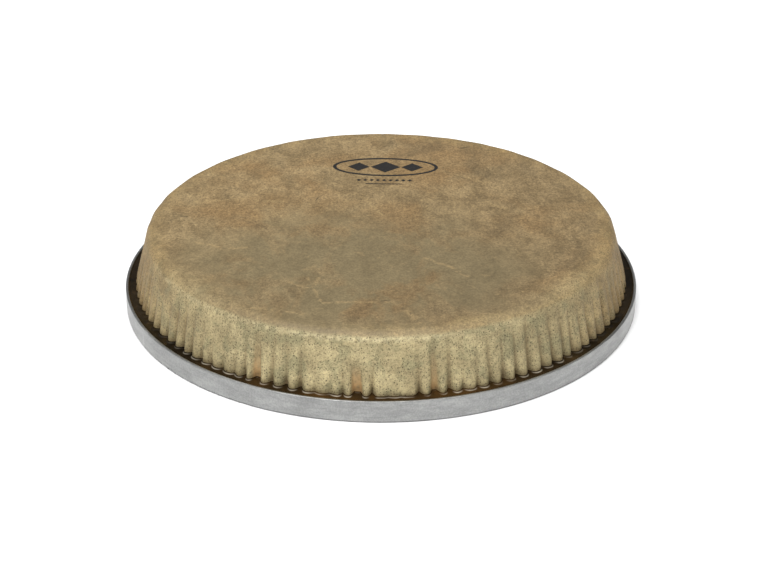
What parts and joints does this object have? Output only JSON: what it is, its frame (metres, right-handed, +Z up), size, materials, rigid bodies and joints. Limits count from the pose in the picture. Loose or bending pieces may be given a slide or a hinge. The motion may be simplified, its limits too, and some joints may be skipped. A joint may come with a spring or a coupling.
{
  "type": "drumhead",
  "caption": "Synthetic darbuka drumhead: printed skin-look film with a deep crimped collar, cast in resin in an aluminium channel hoop.",
  "frame": {"origin": "centre of the hoop's flat underside", "axes": "+Z up through the playing face, along the head's axis; the printed badge lies towards +Y and reads from -Y"},
  "size_m": [0.24, 0.24, 0.0373],
  "materials": {
    "hoop_aluminium": "mill finish, fine rolling lines round the hoop",
    "weld_aluminium": "dressed weld, slightly duller than the hoop",
    "amber_resin": "glossy dark amber casting resin",
    "skin_print": "mottled calfskin print, satin",
    "clear_film": "hazy polyester film, satin",
    "print_ink": "black screen-printing ink"
  },
  "bodies": {
    "root": {"channel_hoop": "hoop_aluminium", "hoop_joint_weld": "weld_aluminium", "resin_bed": "amber_resin", "skin_face_ply": "skin_print", "base_film_ply": "clear_film"}
  },
  "joints": []
}
